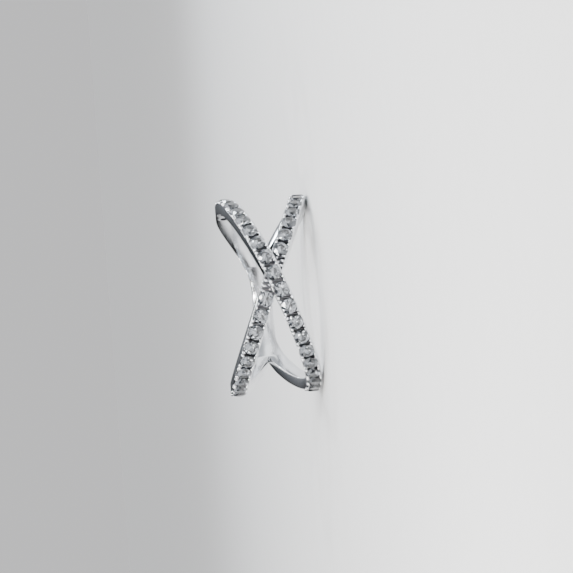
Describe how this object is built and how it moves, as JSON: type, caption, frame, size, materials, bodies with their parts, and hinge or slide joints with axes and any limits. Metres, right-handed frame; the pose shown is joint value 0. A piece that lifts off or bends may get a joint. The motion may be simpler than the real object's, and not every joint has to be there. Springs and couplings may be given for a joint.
{
  "type": "crossover ring",
  "caption": "Finger ring of two thin bead-set strands of round stones that cross in front and close into a plain shank behind.",
  "frame": {"origin": "on the finger hole's axis, at the level that the ring rests on when it lies on its side", "axes": "+Z along the finger hole's axis, away from the surface; -Y towards the crossing"},
  "size_m": [0.0202, 0.0203, 0.0093],
  "materials": {
    "metal": "polished white metal, as rhodium-plated silver",
    "stone": "clear colourless round brilliant"
  },
  "bodies": {
    "root": {"band": "metal", "over_stone_01": "stone", "over_stone_02": "stone", "over_stone_03": "stone", "over_stone_04": "stone", "over_stone_05": "stone", "over_stone_06": "stone", "over_stone_07": "stone", "over_stone_08": "stone", "over_stone_09": "stone", "over_stone_10": "stone", "over_stone_11": "stone", "over_stone_12": "stone", "over_stone_13": "stone", "over_stone_14": "stone", "over_stone_15": "stone", "over_stone_16": "stone", "over_stone_17": "stone", "over_stone_18": "stone", "over_stone_19": "stone", "over_stone_20": "stone", "over_stone_21": "stone", "under_stone_01": "stone", "under_stone_02": "stone", "under_stone_03": "stone", "under_stone_04": "stone", "under_stone_05": "stone", "under_stone_06": "stone", "under_stone_07": "stone", "under_stone_08": "stone", "under_stone_09": "stone", "under_stone_10": "stone", "under_stone_11": "stone", "under_stone_12": "stone", "under_stone_13": "stone", "under_stone_14": "stone", "under_stone_15": "stone", "under_stone_16": "stone", "under_stone_17": "stone", "under_stone_18": "stone"}
  },
  "joints": []
}
